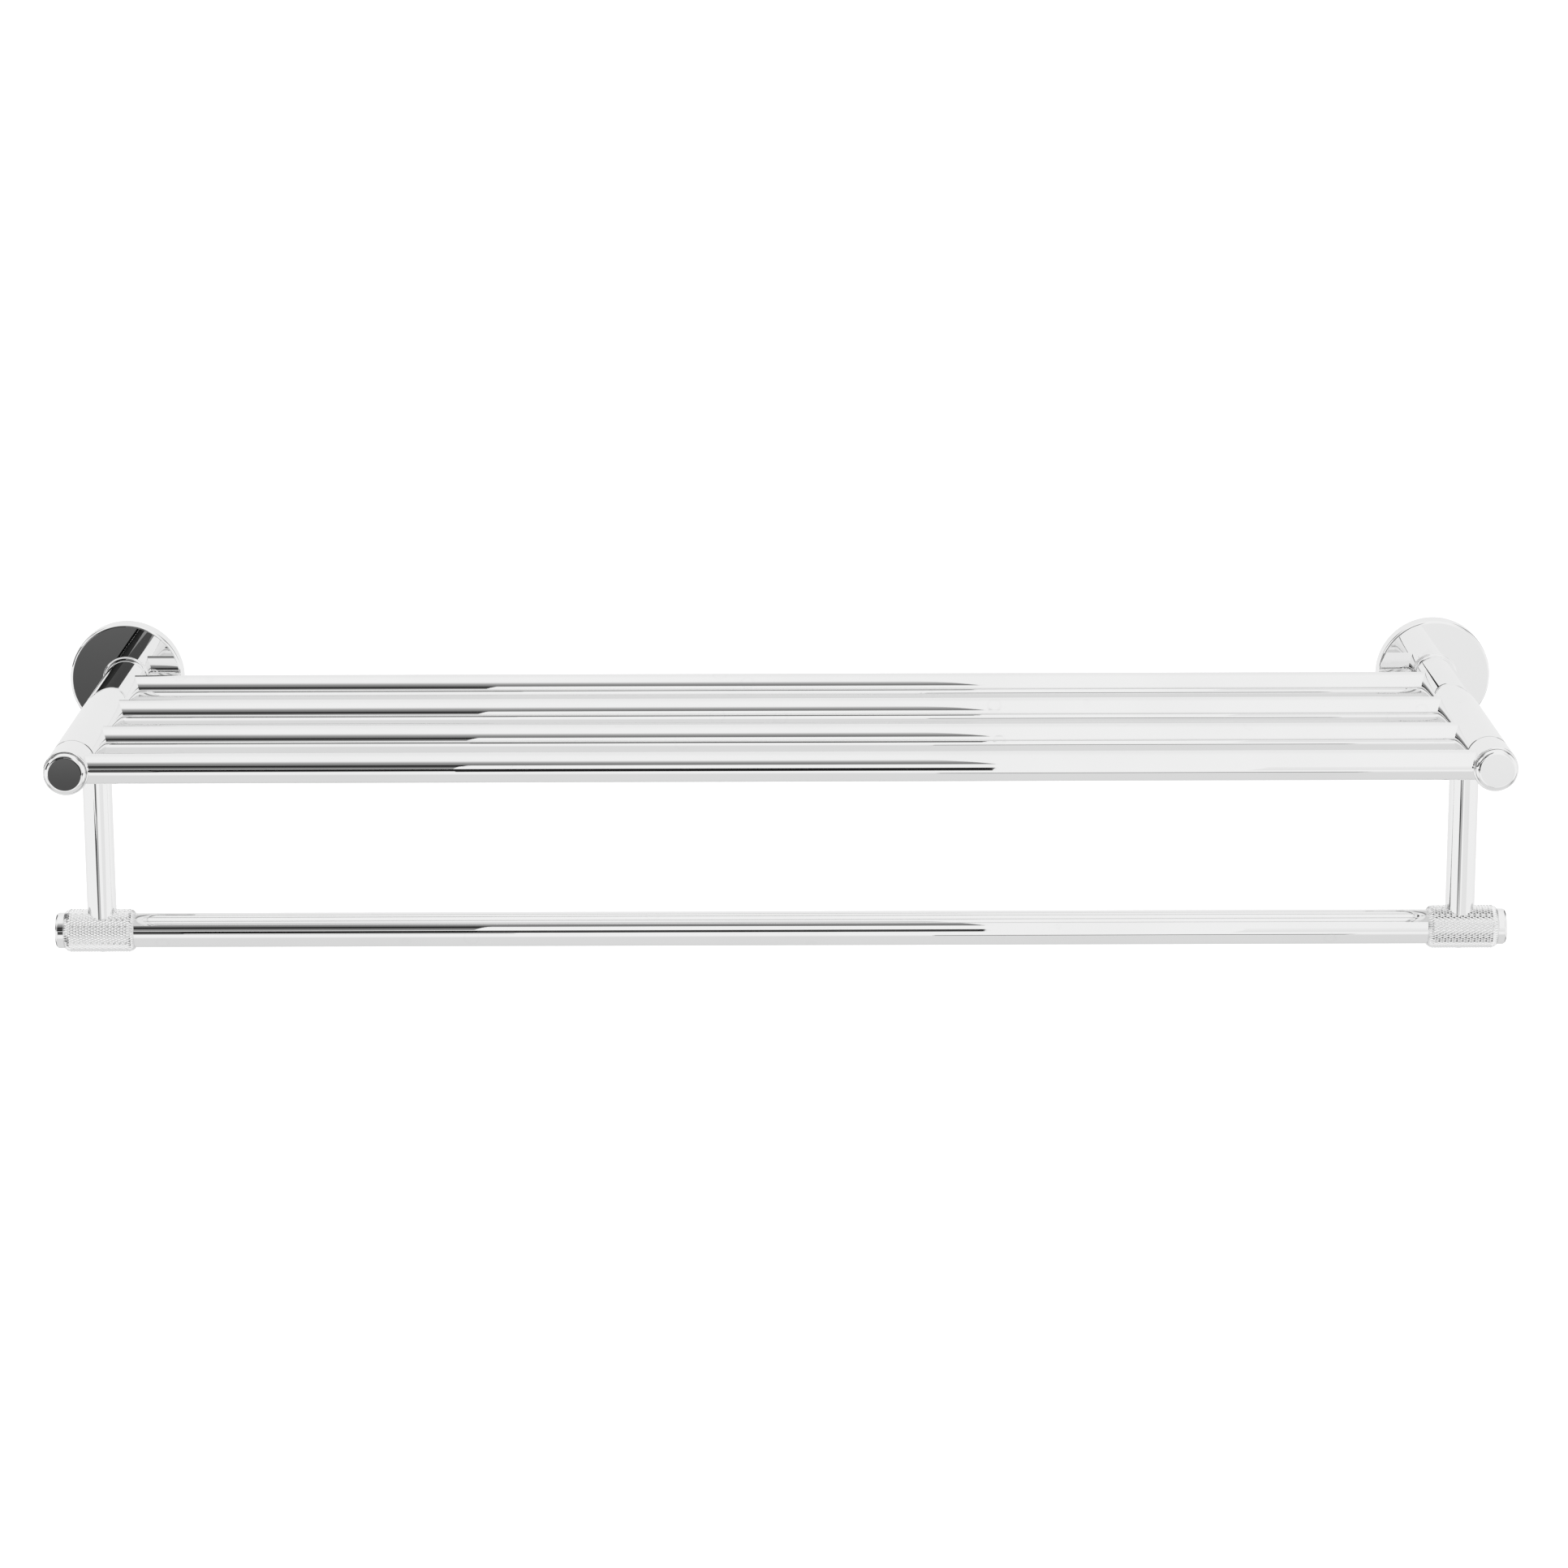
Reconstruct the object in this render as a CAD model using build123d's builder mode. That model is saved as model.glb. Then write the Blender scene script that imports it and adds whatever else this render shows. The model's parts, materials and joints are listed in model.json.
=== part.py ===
from build123d import *
import os
from math import sqrt

# Wall-mounted towel rack: two round arms on wall rosettes carry a shelf of four tubes, and
# two posts under the arms carry a towel bar in knurled sleeves. Lengths are in millimetres.
# X runs to the right, Y into the wall and Z up. The origin lies on the wall plane, midway
# between the arms, at the height of their axes. "Depth" is the distance out from the wall.

# Layout
ARM_X = 315.0
RAIL_DEPTHS = [32.0, 87.0, 142.0, 197.0]
POST_DEPTH = (RAIL_DEPTHS[1] + RAIL_DEPTHS[2]) / 2
BAR_DROP = 96.5
SIDES = {"left": -1, "right": 1}

# Rosette: a cup with its open side on the wall and a collar round the arm
ROSETTE_R = 27.0
ROSETTE_DEPTH = 9.5
ROSETTE_FRONT_WALL = 2.5
ROSETTE_RIM_WALL = 2.0
ROSETTE_EDGE_R = 1.3
COLLAR_R = 11.0
COLLAR_DEPTH = 1.5
COLLAR_EDGE_R = 0.7

# Wall bracket and its screws
BRACKET_R = 24.7
BRACKET_DEPTH = 5.0
BRACKET_BORE_R = 8.5
WALL_SCREW_RISE = 16.0
WALL_SCREW_R = 2.0
WALL_SCREW_NECK_R = 1.8
WALL_SCREW_HOLE_R = 2.3
WALL_SCREW_HEAD_R = 4.0
WALL_SCREW_HEAD_DEPTH = 2.0
WALL_SCREW_REACH = 28.0
WALL_SCREW_TIP_LENGTH = 4.0
WALL_SCREW_TIP_R = 0.4
WALL_SCREW_SLOT = 0.9

# Arm: a tube, then a solid end piece of the same outside, then a cap
ARM_R = 10.0
ARM_BORE_R = 8.5
ARM_END_DEPTH = 206.0
END_PIECE_LENGTH = 22.0
ARM_SEAM_DEPTH = ARM_END_DEPTH - END_PIECE_LENGTH
END_SPIGOT_LENGTH = 8.0
END_EDGE = 0.6
SEAM_EDGE = 0.15
CAP_R = 9.2
CAP_NECK_R = 8.6
CAP_GROOVE = 0.5
CAP_THICKNESS = 2.2
CAP_EDGE_R = 2.0
CAP_STEM_R = 3.0
CAP_STEM_LENGTH = 8.0

# Tubes of the shelf and the posts
TUBE_R = 6.7
TUBE_BORE_R = 5.5
RAIL_END_GAP = 5.0

# Towel bar, its sleeves and end caps
BAR_R = 8.0
BAR_BORE_R = 6.8
SLEEVE_R = 10.0
SLEEVE_LENGTH = 32.5
SLEEVE_SHIFT = 1.0
SLEEVE_END_R = 8.4
SLEEVE_CHAMFER = 2.2
BAR_CAP_R = 8.3
BAR_CAP_LENGTH = 4.0
BAR_CAP_EDGE_R = 1.5
BAR_CAP_STEM_LENGTH = 8.0
SLEEVE_X = ARM_X + SLEEVE_SHIFT
BAR_HALF_LENGTH = SLEEVE_X + SLEEVE_LENGTH / 2

# Inserts and machine screws
FIT_GAP = 0.05
PLUG_LENGTH = 15.0
ARM_SCREW_R = 3.0
ARM_SCREW_HEAD_R = 5.0
ARM_SCREW_HEAD_DEPTH = 4.5
ARM_SCREW_REACH = 14.0
POST_PLUG_LENGTH = 12.0
POST_PLUG_CLEARANCE = 0.3
POST_SCREW_R = 2.5
POST_SCREW_HEAD_R = 4.25
POST_SCREW_HEAD_DEPTH = 3.0
POST_SCREW_REACH = 14.0
SLEEVE_SCREW_R = 2.0
SLEEVE_SCREW_HEAD_R = 3.5
SLEEVE_SCREW_REACH = 14.0
GRUB_R = 1.5
GRUB_LENGTH = 5.0
GRUB_DEPTH = 2.8
GRUB_HEX_R = 0.85
GRUB_HEX_DEPTH = 1.2
HEX_SIDES = 6
SCREW_CLEARANCE = 0.2

os.makedirs("parts", exist_ok=True)


def facing_front(x, depth, z=0.0):
    """A plane parallel to the wall whose normal points away from it."""
    return Plane(origin=(x, -depth, z), x_dir=(1, 0, 0), z_dir=(0, -1, 0))


def facing_wall(x, depth, z=0.0):
    """A plane parallel to the wall whose normal points into it."""
    return Plane(origin=(x, -depth, z), x_dir=(-1, 0, 0), z_dir=(0, 1, 0))


def facing_middle(side, x, depth, z=0.0):
    """A plane square to X whose normal points to the middle of the rack."""
    return Plane(origin=(side * x, -depth, z), x_dir=(0, side, 0), z_dir=(-side, 0, 0))


def facing_outside(side, x, depth, z=0.0):
    """A plane square to X whose normal points out past the arm."""
    return Plane(origin=(side * x, -depth, z), x_dir=(0, side, 0), z_dir=(side, 0, 0))


def facing_up(x, depth, z):
    """A level plane whose normal points up."""
    return Plane(origin=(x, -depth, z), x_dir=(1, 0, 0), z_dir=(0, 0, 1))


def facing_down(x, depth, z):
    """A level plane whose normal points down."""
    return Plane(origin=(x, -depth, z), x_dir=(1, 0, 0), z_dir=(0, 0, -1))


def save(part, name):
    """Label a finished piece and write its file."""
    part.label = name
    export_step(part, f"parts/{name}.step")


def make_rosette(side):
    """Round cover cup with a collar that the arm stands in."""
    x = side * ARM_X
    with BuildPart() as rosette:
        with BuildSketch(facing_front(x, 0)):
            Circle(ROSETTE_R)
        extrude(amount=ROSETTE_DEPTH)
        front = rosette.faces().sort_by(Axis.Y)[0]
        fillet(front.edges(), radius=ROSETTE_EDGE_R)
        with BuildSketch(facing_front(x, 0)):
            Circle(ROSETTE_R - ROSETTE_RIM_WALL)
        extrude(amount=ROSETTE_DEPTH - ROSETTE_FRONT_WALL, mode=Mode.SUBTRACT)
        with BuildSketch(facing_front(x, ROSETTE_DEPTH)):
            Circle(COLLAR_R)
        extrude(amount=COLLAR_DEPTH)
        collar_front = rosette.faces().sort_by(Axis.Y)[0]
        fillet(collar_front.edges(), radius=COLLAR_EDGE_R)
        with BuildSketch(facing_front(x, ROSETTE_DEPTH)):
            Circle(ARM_R)
        extrude(amount=COLLAR_DEPTH, mode=Mode.SUBTRACT)
        with BuildSketch(facing_front(x, 0)):
            Circle(ARM_SCREW_R + SCREW_CLEARANCE)
        extrude(amount=ROSETTE_DEPTH, mode=Mode.SUBTRACT)
        with BuildSketch(facing_down(x, GRUB_DEPTH, 0)):
            Circle(GRUB_R + SCREW_CLEARANCE / 2)
        extrude(amount=ROSETTE_R, mode=Mode.SUBTRACT)
    return rosette.part


def make_wall_bracket(side):
    """Round plate that is screwed to the wall and holds the rosette."""
    x = side * ARM_X
    with BuildPart() as bracket:
        with BuildSketch(facing_front(x, 0)):
            Circle(BRACKET_R)
            Circle(BRACKET_BORE_R, mode=Mode.SUBTRACT)
        extrude(amount=BRACKET_DEPTH)
        with BuildSketch(facing_down(x, GRUB_DEPTH, -BRACKET_R + GRUB_LENGTH)):
            Circle(GRUB_R)
        extrude(amount=GRUB_LENGTH, mode=Mode.SUBTRACT)
        with Locations(facing_front(x, BRACKET_DEPTH)):
            with Locations((0, WALL_SCREW_RISE), (0, -WALL_SCREW_RISE)):
                CounterSinkHole(
                    WALL_SCREW_HOLE_R,
                    counter_sink_radius=WALL_SCREW_HEAD_R + SCREW_CLEARANCE,
                    depth=BRACKET_DEPTH,
                )
    return bracket.part


def make_wall_screw(x, z):
    """Countersunk wood screw: head and neck in the bracket, thread in the wall."""
    head_top = BRACKET_DEPTH
    neck_top = BRACKET_DEPTH - WALL_SCREW_HEAD_DEPTH
    with BuildPart() as screw:
        with BuildSketch(facing_wall(x, head_top, z)):
            Circle(WALL_SCREW_HEAD_R)
        with BuildSketch(facing_wall(x, neck_top, z)):
            Circle(WALL_SCREW_NECK_R)
        loft()
        with BuildSketch(facing_wall(x, neck_top, z)):
            Circle(WALL_SCREW_NECK_R)
        extrude(amount=neck_top)
        with BuildSketch(facing_wall(x, 0, z)):
            Circle(WALL_SCREW_R)
        extrude(amount=WALL_SCREW_REACH)
        tip = screw.faces().sort_by(Axis.Y)[-1]
        taper = WALL_SCREW_R - WALL_SCREW_TIP_R
        chamfer(tip.edges(), length=taper, length2=WALL_SCREW_TIP_LENGTH, reference=tip)
        with BuildSketch(facing_wall(x, head_top, z)):
            Rectangle(WALL_SCREW_HEAD_R, WALL_SCREW_SLOT)
            Rectangle(WALL_SCREW_SLOT, WALL_SCREW_HEAD_R)
        extrude(amount=WALL_SCREW_HEAD_DEPTH / 2, mode=Mode.SUBTRACT)
    return screw.part


def make_rosette_grub(side):
    """Set screw that locks the rosette on its bracket from below."""
    x = side * ARM_X
    start = -BRACKET_R + GRUB_LENGTH / 2
    with BuildPart() as grub:
        with BuildSketch(facing_down(x, GRUB_DEPTH, start)):
            Circle(GRUB_R - FIT_GAP)
        extrude(amount=GRUB_LENGTH - GRUB_HEX_DEPTH / 2)
        with BuildSketch(facing_up(x, GRUB_DEPTH, start - GRUB_LENGTH + GRUB_HEX_DEPTH / 2)):
            RegularPolygon(GRUB_HEX_R, HEX_SIDES)
        extrude(amount=GRUB_HEX_DEPTH, mode=Mode.SUBTRACT)
    return grub.part


def make_arm(side):
    """Arm tube, with a hole for each rail it carries and one for the post's screw."""
    x = side * ARM_X
    with BuildPart() as arm:
        with BuildSketch(facing_front(x, ROSETTE_DEPTH)):
            Circle(ARM_R)
            Circle(ARM_BORE_R, mode=Mode.SUBTRACT)
        extrude(amount=ARM_SEAM_DEPTH - ROSETTE_DEPTH)
        seam = arm.faces().sort_by(Axis.Y)[0]
        chamfer(seam.edges().sort_by(SortBy.RADIUS)[-1], length=SEAM_EDGE)
        for depth in RAIL_DEPTHS[:-1]:
            with BuildSketch(facing_middle(side, ARM_X, depth)):
                Circle(TUBE_R)
            extrude(amount=ARM_R, mode=Mode.SUBTRACT)
        with BuildSketch(facing_down(x, POST_DEPTH, 0)):
            Circle(POST_SCREW_R + SCREW_CLEARANCE)
        extrude(amount=ARM_R, mode=Mode.SUBTRACT)
    return arm.part


def make_arm_plug(side):
    """Threaded insert in the wall end of the arm."""
    x = side * ARM_X
    with BuildPart() as plug:
        with BuildSketch(facing_front(x, ROSETTE_DEPTH)):
            Circle(ARM_BORE_R)
            Circle(ARM_SCREW_R, mode=Mode.SUBTRACT)
        extrude(amount=PLUG_LENGTH)
    return plug.part


def make_arm_screw(side):
    """Socket head screw that pulls the arm onto the rosette from inside the cup."""
    x = side * ARM_X
    seat = ROSETTE_DEPTH - ROSETTE_FRONT_WALL
    with BuildPart() as screw:
        with BuildSketch(facing_wall(x, seat)):
            Circle(ARM_SCREW_HEAD_R)
        extrude(amount=ARM_SCREW_HEAD_DEPTH)
        with BuildSketch(facing_front(x, seat)):
            Circle(ARM_SCREW_R - FIT_GAP)
        extrude(amount=ARM_SCREW_REACH)
        with BuildSketch(facing_front(x, seat - ARM_SCREW_HEAD_DEPTH)):
            RegularPolygon(ARM_SCREW_HEAD_R / 2, HEX_SIDES)
        extrude(amount=ARM_SCREW_HEAD_DEPTH / 2, mode=Mode.SUBTRACT)
    return screw.part


def make_arm_end(side):
    """Solid end piece of the arm, with a spigot, the front rail's socket and the cap's bore."""
    x = side * ARM_X
    with BuildPart() as end:
        with BuildSketch(facing_front(x, ARM_SEAM_DEPTH)):
            Circle(ARM_R)
        extrude(amount=END_PIECE_LENGTH)
        front = end.faces().sort_by(Axis.Y)[0]
        fillet(front.edges(), radius=END_EDGE)
        back = end.faces().sort_by(Axis.Y)[-1]
        chamfer(back.edges(), length=SEAM_EDGE)
        with BuildSketch(facing_front(x, ARM_SEAM_DEPTH - END_SPIGOT_LENGTH)):
            Circle(ARM_BORE_R)
        extrude(amount=END_SPIGOT_LENGTH)
        with BuildSketch(facing_middle(side, ARM_X - RAIL_END_GAP, RAIL_DEPTHS[-1])):
            Circle(TUBE_R)
        extrude(amount=ARM_R, mode=Mode.SUBTRACT)
        with BuildSketch(facing_wall(x, ARM_END_DEPTH)):
            Circle(CAP_STEM_R)
        extrude(amount=CAP_STEM_LENGTH, mode=Mode.SUBTRACT)
    return end.part


def make_front_cap(side):
    """Turned cap on the front of the arm: stem, neck in the shadow groove, rounded disc."""
    x = side * ARM_X
    with BuildPart() as cap:
        with BuildSketch(facing_front(x, ARM_END_DEPTH + CAP_GROOVE)):
            Circle(CAP_R)
        extrude(amount=CAP_THICKNESS)
        front = cap.faces().sort_by(Axis.Y)[0]
        fillet(front.edges(), radius=CAP_EDGE_R)
        with BuildSketch(facing_front(x, ARM_END_DEPTH)):
            Circle(CAP_NECK_R)
        extrude(amount=CAP_GROOVE)
        with BuildSketch(facing_wall(x, ARM_END_DEPTH)):
            Circle(CAP_STEM_R)
        extrude(amount=CAP_STEM_LENGTH)
    return cap.part


def make_shelf_rail(depth):
    """Shelf tube whose ends stand in the arms."""
    half_length = ARM_X - RAIL_END_GAP
    with BuildPart() as rail:
        with BuildSketch(Plane(origin=(0, -depth, 0), x_dir=(0, 1, 0), z_dir=(1, 0, 0))):
            Circle(TUBE_R)
            Circle(TUBE_BORE_R, mode=Mode.SUBTRACT)
        extrude(amount=half_length, both=True)
    return rail.part


def make_post(side):
    """Post tube, coped at the top to the arm and at the bottom to the sleeve."""
    x = side * ARM_X
    with BuildPart() as post:
        with BuildSketch(facing_down(x, POST_DEPTH, 0)):
            Circle(TUBE_R)
            Circle(TUBE_BORE_R, mode=Mode.SUBTRACT)
        extrude(amount=BAR_DROP)
        with BuildSketch(facing_front(x, POST_DEPTH)):
            Circle(ARM_R)
        extrude(amount=ARM_R, both=True, mode=Mode.SUBTRACT)
        with BuildSketch(facing_middle(side, ARM_X, POST_DEPTH, -BAR_DROP)):
            Circle(SLEEVE_R)
        extrude(amount=TUBE_R, both=True, mode=Mode.SUBTRACT)
    return post.part


def make_post_plug(side, plane, screw_r):
    """Threaded insert in one end of a post."""
    with BuildPart() as plug:
        with BuildSketch(plane):
            Circle(TUBE_BORE_R)
            Circle(screw_r, mode=Mode.SUBTRACT)
        extrude(amount=POST_PLUG_LENGTH)
    return plug.part


def make_post_screw(side):
    """Screw from inside the arm down into the post's upper insert."""
    x = side * ARM_X
    seat = -sqrt(ARM_BORE_R**2 - POST_SCREW_HEAD_R**2)
    with BuildPart() as screw:
        with BuildSketch(facing_up(x, POST_DEPTH, seat)):
            Circle(POST_SCREW_HEAD_R)
        extrude(amount=POST_SCREW_HEAD_DEPTH)
        with BuildSketch(facing_down(x, POST_DEPTH, seat)):
            Circle(POST_SCREW_R - FIT_GAP)
        extrude(amount=POST_SCREW_REACH)
        with BuildSketch(facing_down(x, POST_DEPTH, seat + POST_SCREW_HEAD_DEPTH)):
            RegularPolygon(POST_SCREW_HEAD_R / 2, HEX_SIDES)
        extrude(amount=POST_SCREW_HEAD_DEPTH / 2, mode=Mode.SUBTRACT)
    return screw.part


def make_sleeve(side):
    """Sleeve round the towel bar: the knurled grip's outside is a plain cylinder here."""
    x = side * ARM_X
    with BuildPart() as sleeve:
        with BuildSketch(facing_middle(side, SLEEVE_X, POST_DEPTH, -BAR_DROP)):
            Circle(SLEEVE_R)
            Circle(BAR_R, mode=Mode.SUBTRACT)
        extrude(amount=SLEEVE_LENGTH / 2, both=True)
        for end in sleeve.faces().filter_by(Axis.X):
            rim = end.edges().sort_by(SortBy.RADIUS)[-1]
            chamfer(rim, length=SLEEVE_R - SLEEVE_END_R, length2=SLEEVE_CHAMFER, reference=end)
        with BuildSketch(facing_up(x, POST_DEPTH, -BAR_DROP)):
            Circle(SLEEVE_SCREW_HEAD_R + FIT_GAP)
        with BuildSketch(facing_up(x, POST_DEPTH, -BAR_DROP + BAR_R + FIT_GAP)):
            Circle(SLEEVE_SCREW_HEAD_R + FIT_GAP)
        loft(mode=Mode.SUBTRACT)
        with BuildSketch(facing_up(x, POST_DEPTH, -BAR_DROP + BAR_R + FIT_GAP)):
            Circle(SLEEVE_SCREW_HEAD_R + FIT_GAP)
        with BuildSketch(facing_up(x, POST_DEPTH, -BAR_DROP + SLEEVE_R)):
            Circle(SLEEVE_SCREW_R + FIT_GAP)
        loft(mode=Mode.SUBTRACT)
        with BuildSketch(facing_down(x, POST_DEPTH, -BAR_DROP)):
            Circle(GRUB_R)
        extrude(amount=SLEEVE_R, mode=Mode.SUBTRACT)
    return sleeve.part


def make_sleeve_screw(side):
    """Countersunk screw from the sleeve's bore up into the post's lower insert."""
    x = side * ARM_X
    head = -BAR_DROP + BAR_R + FIT_GAP
    neck = -BAR_DROP + SLEEVE_R
    with BuildPart() as screw:
        with BuildSketch(facing_up(x, POST_DEPTH, head)):
            Circle(SLEEVE_SCREW_HEAD_R)
        with BuildSketch(facing_up(x, POST_DEPTH, neck)):
            Circle(SLEEVE_SCREW_R - FIT_GAP)
        loft()
        with BuildSketch(facing_up(x, POST_DEPTH, neck)):
            Circle(SLEEVE_SCREW_R - FIT_GAP)
        extrude(amount=SLEEVE_SCREW_REACH)
    return screw.part


def make_sleeve_grub(side):
    """Set screw under the sleeve that keeps the bar from sliding."""
    x = side * ARM_X
    tip = -BAR_DROP - BAR_R - FIT_GAP
    length = SLEEVE_R - BAR_R - 2 * FIT_GAP
    with BuildPart() as grub:
        with BuildSketch(facing_down(x, POST_DEPTH, tip)):
            Circle(GRUB_R - FIT_GAP)
        extrude(amount=length)
        with BuildSketch(facing_up(x, POST_DEPTH, tip - length)):
            RegularPolygon(GRUB_HEX_R, HEX_SIDES)
        extrude(amount=GRUB_HEX_DEPTH, mode=Mode.SUBTRACT)
    return grub.part


def make_towel_bar():
    """Towel bar tube, flush with the outer ends of the two sleeves."""
    plane = Plane(origin=(0, -POST_DEPTH, -BAR_DROP), x_dir=(0, 1, 0), z_dir=(1, 0, 0))
    with BuildPart() as bar:
        with BuildSketch(plane):
            Circle(BAR_R)
            Circle(BAR_BORE_R, mode=Mode.SUBTRACT)
        extrude(amount=BAR_HALF_LENGTH, both=True)
    return bar.part


def make_bar_cap(side):
    """Plug that closes the end of the towel bar."""
    with BuildPart() as cap:
        with BuildSketch(facing_outside(side, BAR_HALF_LENGTH, POST_DEPTH, -BAR_DROP)):
            Circle(BAR_CAP_R)
        extrude(amount=BAR_CAP_LENGTH)
        outer = cap.faces().sort_by(Axis.X)[-1 if side > 0 else 0]
        fillet(outer.edges(), radius=BAR_CAP_EDGE_R)
        with BuildSketch(facing_middle(side, BAR_HALF_LENGTH, POST_DEPTH, -BAR_DROP)):
            Circle(BAR_BORE_R)
        extrude(amount=BAR_CAP_STEM_LENGTH)
    return cap.part


# Pieces that come once on each side
PAIRED = {
    "rosette": make_rosette,
    "wall_bracket": make_wall_bracket,
    "arm": make_arm,
    "arm_plug": make_arm_plug,
    "arm_end": make_arm_end,
    "front_cap": make_front_cap,
    "post": make_post,
    "knurled_sleeve": make_sleeve,
    "bar_end_cap": make_bar_cap,
}
for stem, make in PAIRED.items():
    for side_name, side in SIDES.items():
        save(make(side), f"{stem}_{side_name}")

# Tubes across the rack
for number, depth in enumerate(RAIL_DEPTHS, start=1):
    save(make_shelf_rail(depth), f"shelf_rail_{number}")
save(make_towel_bar(), "towel_bar")

# Like fasteners share one file, as separate solids
upper_plug_z = -ARM_R - POST_PLUG_CLEARANCE
lower_plug_z = -BAR_DROP + SLEEVE_R + POST_PLUG_CLEARANCE
FASTENERS = {
    "wall_screws": [
        make_wall_screw(side * ARM_X, z)
        for side in SIDES.values()
        for z in (-WALL_SCREW_RISE, WALL_SCREW_RISE)
    ],
    "rosette_grub_screws": [make_rosette_grub(side) for side in SIDES.values()],
    "arm_screws": [make_arm_screw(side) for side in SIDES.values()],
    "post_upper_plugs": [
        make_post_plug(side, facing_down(side * ARM_X, POST_DEPTH, upper_plug_z), POST_SCREW_R)
        for side in SIDES.values()
    ],
    "post_lower_plugs": [
        make_post_plug(side, facing_up(side * ARM_X, POST_DEPTH, lower_plug_z), SLEEVE_SCREW_R)
        for side in SIDES.values()
    ],
    "post_screws": [make_post_screw(side) for side in SIDES.values()],
    "sleeve_screws": [make_sleeve_screw(side) for side in SIDES.values()],
    "sleeve_grub_screws": [make_sleeve_grub(side) for side in SIDES.values()],
}
for name, pieces in FASTENERS.items():
    save(Compound(children=pieces), name)
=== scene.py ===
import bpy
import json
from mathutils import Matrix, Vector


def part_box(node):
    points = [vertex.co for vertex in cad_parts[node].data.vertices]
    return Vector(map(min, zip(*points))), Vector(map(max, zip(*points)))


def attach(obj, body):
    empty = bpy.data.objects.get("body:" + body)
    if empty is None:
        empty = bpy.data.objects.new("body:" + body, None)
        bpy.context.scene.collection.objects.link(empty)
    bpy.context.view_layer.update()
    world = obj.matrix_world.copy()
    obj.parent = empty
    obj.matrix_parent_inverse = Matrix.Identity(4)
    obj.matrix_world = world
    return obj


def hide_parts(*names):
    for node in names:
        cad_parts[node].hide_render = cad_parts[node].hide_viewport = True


bl_info = {
    "name": "Towel Rack",
    "version": (1, 0, 0),
    "blender": (4, 5, 0),
    "location": "View3D > Sidebar > Towel Rack",
    "description": "Builds the visible pieces, finishes and studio of a chrome wall towel rack",
    "category": "Object",
}

import json
from math import pi, radians, sqrt, tau

import bmesh
import bpy
from bpy.props import FloatProperty, FloatVectorProperty, IntProperty, PointerProperty
from mathutils import Matrix, Vector

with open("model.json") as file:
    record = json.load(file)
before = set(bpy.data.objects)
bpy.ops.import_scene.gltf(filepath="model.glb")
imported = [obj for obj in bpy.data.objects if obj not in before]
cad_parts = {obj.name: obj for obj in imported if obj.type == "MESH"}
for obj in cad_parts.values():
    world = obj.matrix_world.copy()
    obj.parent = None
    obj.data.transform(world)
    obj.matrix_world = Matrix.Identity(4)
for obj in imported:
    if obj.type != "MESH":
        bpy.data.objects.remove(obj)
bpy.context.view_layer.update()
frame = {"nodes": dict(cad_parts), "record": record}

MM = 0.001
SIDES = {"left": -1, "right": 1}
RAILS = sorted(name for name in frame["nodes"] if name.startswith("shelf_rail_"))
TO_ROOM = Vector((0, -1, 0))
RIGHT = Vector((1, 0, 0))
UP = Vector((0, 0, 1))
HEIGHT_LAYER = "knurl_height"

# Fixed measures
SHARP_ANGLE = radians(40)
ROUNDING_STEPS = 6
MERGE_DISTANCE = 0.0002 * MM
SAME_LEVEL = 0.01 * MM
BORE_CLEARANCE = 0.02 * MM
RIM_EDGE = 0.2 * MM
INNER_EDGE = 0.3 * MM
FRONT_CAP_BACK_EDGE = 0.12 * MM
BAR_CAP_BACK_EDGE = 0.15 * MM
SEAM_REACH = 1.0 * MM
SEAM_DARK_BELOW = 0.2 * MM
SEAM_CLEAR_BELOW = 0.02 * MM


def middle(node):
    """Centre of a CAD node's box."""
    low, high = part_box(node)
    return (low + high) / 2


def extent(node):
    """Size of a CAD node's box along X, Y and Z."""
    low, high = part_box(node)
    return high - low


ARM_X = middle("arm_right").x
ARM_R = extent("arm_left").x / 2
TUBE_R = extent("post_left").x / 2
BAR_R = extent("towel_bar").z / 2
SLEEVE_R = extent("knurled_sleeve_left").z / 2
ROSETTE_R = extent("rosette_left").x / 2
BAR_CAP_R = extent("bar_end_cap_left").z / 2
FRONT_CAP_R = extent("front_cap_left").x / 2
POST_Y = middle("post_left").y
BAR_Z = middle("towel_bar").z


# --- Settings ---------------------------------------------------------------------------------


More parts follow.
